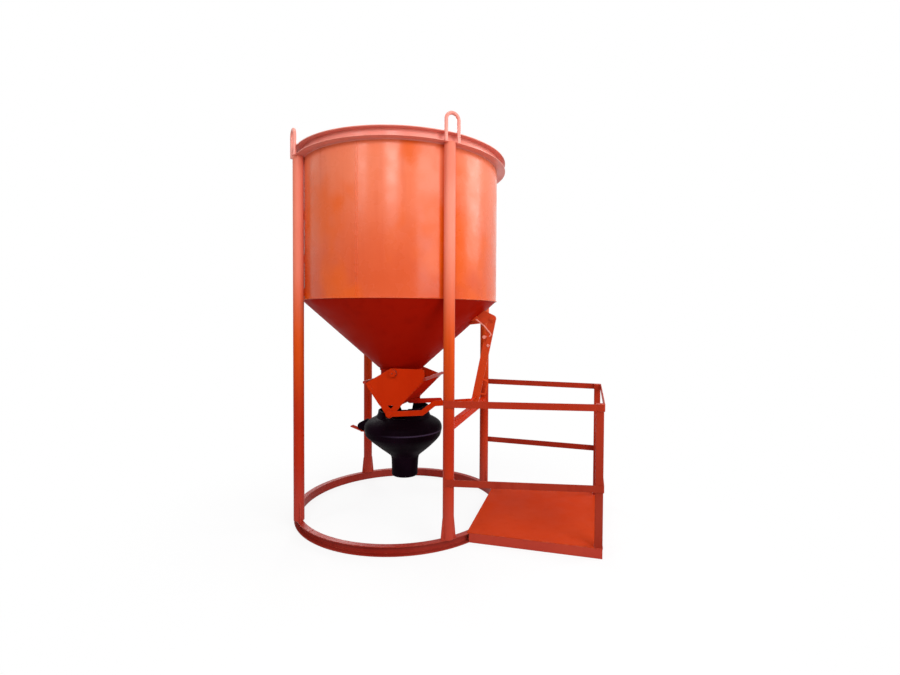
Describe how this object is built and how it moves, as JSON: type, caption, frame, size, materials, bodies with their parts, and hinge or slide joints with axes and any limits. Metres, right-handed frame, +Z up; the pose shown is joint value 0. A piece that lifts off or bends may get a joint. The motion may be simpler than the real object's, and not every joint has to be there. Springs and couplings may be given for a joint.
{
  "type": "hoist bucket",
  "caption": "Crane-lifted concrete bucket: round drum and hopper cone on tube legs, sector gate worked by a hanging hand lever, rubber discharge funnel and a railed operator platform.",
  "frame": {"origin": "middle of the footprint (ring and platform together) on the ground", "axes": "+Z up along the drum axis, +X from the drum towards the operator platform, -Y the side that faces the viewer of the picture"},
  "size_m": [2.3918, 1.6478, 2.882],
  "materials": {
    "orange_paint": "gloss orange paint on steel sheet",
    "orange_paint_frame": "worn orange paint on steel tube and plate",
    "bare_steel": "bare turned steel, greased",
    "black_rubber": "black moulded rubber"
  },
  "bodies": {
    "frame": {"base_ring": "orange_paint_frame", "leg_front_left": "orange_paint_frame", "leg_front_right": "orange_paint_frame", "leg_back_right": "orange_paint_frame", "leg_back_left": "orange_paint_frame", "leg_caps": "orange_paint_frame", "leg_gussets": "orange_paint_frame", "drum_shell": "orange_paint", "hopper_cone": "orange_paint", "rim_band": "orange_paint", "rim_flange_low": "orange_paint", "rim_flange_top": "orange_paint", "drum_tabs": "orange_paint", "lifting_eye_front_left": "orange_paint", "lifting_eye_front_right": "orange_paint", "lifting_eye_back_right": "orange_paint", "lifting_eye_back_left": "orange_paint", "outlet_collar": "orange_paint", "outlet_neck": "orange_paint", "pivot_pins": "orange_paint", "pivot_nuts": "orange_paint", "lever_ears": "orange_paint", "lever_bolt": "orange_paint", "lever_nut": "orange_paint", "hook_lug": "orange_paint", "crossbar": "orange_paint_frame", "platform_side_front": "orange_paint_frame", "platform_side_back": "orange_paint_frame", "platform_end": "orange_paint_frame", "platform_floor": "orange_paint_frame", "post_front": "orange_paint_frame", "post_back": "orange_paint_frame", "post_caps": "orange_paint_frame", "top_rail": "orange_paint_frame", "knee_rail": "orange_paint_frame", "rubber_bowl": "black_rubber", "rubber_spout": "black_rubber", "funnel_fork": "orange_paint", "funnel_straps": "orange_paint"},
    "gate": {"gate_pan": "orange_paint", "gate_cheek_front": "orange_paint", "gate_cheek_rear": "orange_paint", "gate_bushes": "bare_steel", "gate_lip_bars": "orange_paint", "gate_edge_bars": "orange_paint", "gate_arm": "orange_paint", "link_pin": "orange_paint"},
    "link": {"gate_link": "orange_paint"},
    "lever": {"hand_lever": "orange_paint", "lever_handle": "orange_paint", "cross_shaft": "orange_paint", "shaft_nut": "orange_paint", "lock_stud": "orange_paint"},
    "hook": {"lock_hook": "orange_paint"}
  },
  "joints": [
    {"name": "lever_swing", "type": "hinge", "parent": "frame", "child": "lever", "pos_m": [0.373, 0, 1.535], "axis": [0, -1, 0], "range_deg": [0, 12]},
    {"name": "gate_turn", "type": "hinge", "parent": "frame", "child": "gate", "pos_m": [-0.348, 0, 1.114], "axis": [0, -1, 0], "range_deg": [0, 22.7]},
    {"name": "link_swing", "type": "hinge", "parent": "lever", "child": "link", "pos_m": [0.249, 0, 0.93], "axis": [0, -1, 0], "range_deg": [-14.1, 0]},
    {"name": "hook_lift", "type": "hinge", "parent": "frame", "child": "hook", "pos_m": [0.26457, -0.048, 1.52645], "axis": [0, -1, 0], "range_deg": [0, 60]}
  ],
  "couplings": [
    {"joint": "gate_turn", "follows": "lever_swing", "ratio": 1.8857},
    {"joint": "link_swing", "follows": "lever_swing", "ratio": -1.173}
  ]
}
